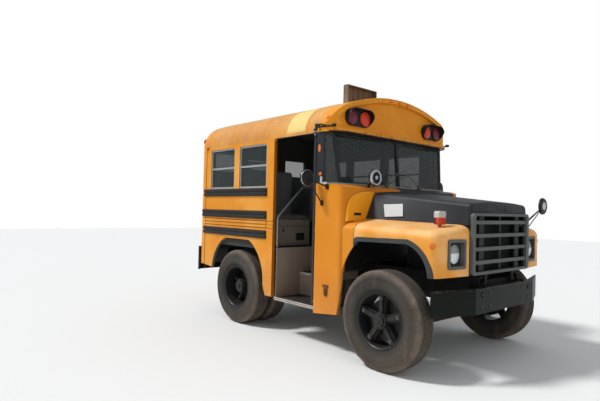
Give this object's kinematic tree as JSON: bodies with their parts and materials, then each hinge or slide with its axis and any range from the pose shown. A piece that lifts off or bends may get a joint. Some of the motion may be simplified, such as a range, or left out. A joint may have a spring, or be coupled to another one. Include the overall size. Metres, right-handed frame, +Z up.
{
  "type": "school bus",
  "caption": "Short school bus with a tilting hood and fenders, a folded open entrance door, twin rear wheels and a wooden box on its roof.",
  "frame": {"origin": "on the ground at the middle of the overall length and width", "axes": "+X forward, +Y to the bus's left, +Z up"},
  "size_m": [4.5683, 2.9598, 3.39],
  "materials": {
    "frame_black": "dusty satin black",
    "bumper_black": "satin black, dusty",
    "running_gear": "oily dark grey with rust",
    "cast_grey": "oily grey",
    "radiator_black": "matt black",
    "exhaust_steel": "rusty",
    "tank_steel": "dusty black",
    "floor_grey": "worn grey",
    "step_beige": "worn beige",
    "body_yellow": "faded school yellow",
    "fender_yellow": "faded school yellow",
    "door_dark": "dark grey paint, dusty",
    "rail_black": "satin black",
    "hood_black": "satin charcoal",
    "grille_grey": "matt grey",
    "lamp_clear": "clear fluted lens",
    "flare_grey": "dull grey",
    "lamp_amber": "amber lens",
    "lamp_red": "red lens",
    "mirror_black": "satin black with mirror face",
    "window_pane": "tinted",
    "sash_silver": "bare aluminium, dull",
    "box_wood": "weathered boards",
    "dash_black": "matt black",
    "heater_beige": "beige enamel",
    "rail_steel": "worn",
    "seat_vinyl": "grey vinyl",
    "seat_steel": "dark grey",
    "arm_red": "blank red plate",
    "tyre": "dusty black rubber",
    "rim_black": "black with dust"
  },
  "bodies": {
    "bus": {"amber_lamps": "lamp_amber", "axles": "running_gear", "bumpers": "bumper_black", "chassis_frame": "frame_black", "cowl": "body_yellow", "dashboard": "dash_black", "deck_mirror": "mirror_black", "engine_block": "cast_grey", "exhaust": "exhaust_steel", "floor": "floor_grey", "front_cap": "body_yellow", "fuel_tank": "tank_steel", "grab_rail": "rail_steel", "heater_box": "heater_beige", "lamp_hoods": "rail_black", "leaf_springs": "running_gear", "left_wall": "body_yellow", "radiator": "radiator_black", "rear_hinges": "rail_black", "rear_wall": "body_yellow", "red_lamps": "lamp_red", "right_wall": "body_yellow", "roof": "body_yellow", "roof_box": "box_wood", "rub_rails": "rail_black", "seat_cushions": "seat_vinyl", "seat_frames": "seat_steel", "side_mirrors": "mirror_black", "stepwell": "step_beige", "stop_arm_bracket": "rail_black", "window_glass": "window_pane", "window_sashes": "sash_silver"},
    "tilt_hood": {"hood": "hood_black", "fenders": "fender_yellow", "grille": "grille_grey", "headlamps": "lamp_clear", "fender_flares": "flare_grey", "fender_lamps": "lamp_amber", "fender_mirror": "mirror_black"},
    "door_front": {"door_front_leaf": "door_dark", "door_front_glass": "window_pane"},
    "door_rear": {"door_rear_leaf": "door_dark", "door_rear_glass": "window_pane"},
    "emergency_door": {"rear_door": "body_yellow", "rear_door_glass": "window_pane"},
    "stop_arm": {"stop_arm": "arm_red"},
    "steering_wheel": {"steering_wheel": "dash_black"},
    "knuckle_right": {"knuckle_right": "running_gear"},
    "knuckle_left": {"knuckle_left": "running_gear"},
    "wheel_front_right": {"front_tyre_right": "tyre", "front_rim_right": "rim_black"},
    "wheel_front_left": {"front_tyre_left": "tyre", "front_rim_left": "rim_black"},
    "wheel_rear_right": {"rear_tyre_right": "tyre", "rear_rim_right": "rim_black"},
    "wheel_rear_left": {"rear_tyre_left": "tyre", "rear_rim_left": "rim_black"}
  },
  "joints": [
    {"name": "hood_tilt", "type": "hinge", "parent": "bus", "child": "tilt_hood", "pos_m": [2.165, 0, 0.93], "axis": [0, 1, 0], "range_deg": [0, 55]},
    {"name": "door_front_hinge", "type": "hinge", "parent": "bus", "child": "door_front", "pos_m": [0.461, -1.19, 1.5], "axis": [0, 0, 1], "range_deg": [0, 90]},
    {"name": "door_fold", "type": "hinge", "parent": "door_front", "child": "door_rear", "pos_m": [0.437, -0.814, 1.5], "axis": [0, 0, 1], "range_deg": [-180, 0]},
    {"name": "emergency_hinge", "type": "hinge", "parent": "bus", "child": "emergency_door", "pos_m": [-2.243, -0.336, 1.8], "axis": [0, 0, 1], "range_deg": [0, 105]},
    {"name": "stop_arm_hinge", "type": "hinge", "parent": "bus", "child": "stop_arm", "pos_m": [0.33, 1.252, 1.73], "axis": [0, 0, -1], "range_deg": [0, 90]},
    {"name": "steer_right", "type": "hinge", "parent": "bus", "child": "knuckle_right", "pos_m": [1.515, -1.04, 0.527], "axis": [0, 0, 1], "range_deg": [-30, 30]},
    {"name": "steer_left", "type": "hinge", "parent": "bus", "child": "knuckle_left", "pos_m": [1.515, 1.04, 0.527], "axis": [0, 0, 1], "range_deg": [-30, 30]},
    {"name": "steering_wheel_turn", "type": "hinge", "parent": "bus", "child": "steering_wheel", "pos_m": [0.38, 0.48, 1.9], "axis": [-0.5, 0, 0.866], "range_deg": [-360, 360]},
    {"name": "wheel_front_right_spin", "type": "hinge", "parent": "knuckle_right", "child": "wheel_front_right", "pos_m": [1.515, -1.136, 0.527], "axis": [0, 1, 0], "continuous": true},
    {"name": "wheel_front_left_spin", "type": "hinge", "parent": "knuckle_left", "child": "wheel_front_left", "pos_m": [1.515, 1.136, 0.527], "axis": [0, 1, 0], "continuous": true},
    {"name": "wheel_rear_right_spin", "type": "hinge", "parent": "bus", "child": "wheel_rear_right", "pos_m": [-1.19, -1.086, 0.527], "axis": [0, 1, 0], "continuous": true},
    {"name": "wheel_rear_left_spin", "type": "hinge", "parent": "bus", "child": "wheel_rear_left", "pos_m": [-1.19, 1.086, 0.527], "axis": [0, 1, 0], "continuous": true}
  ],
  "couplings": [
    {"joint": "door_fold", "follows": "door_front_hinge", "ratio": -2},
    {"joint": "steer_left", "follows": "steer_right", "ratio": 1},
    {"joint": "steering_wheel_turn", "follows": "steer_right", "ratio": 12}
  ]
}
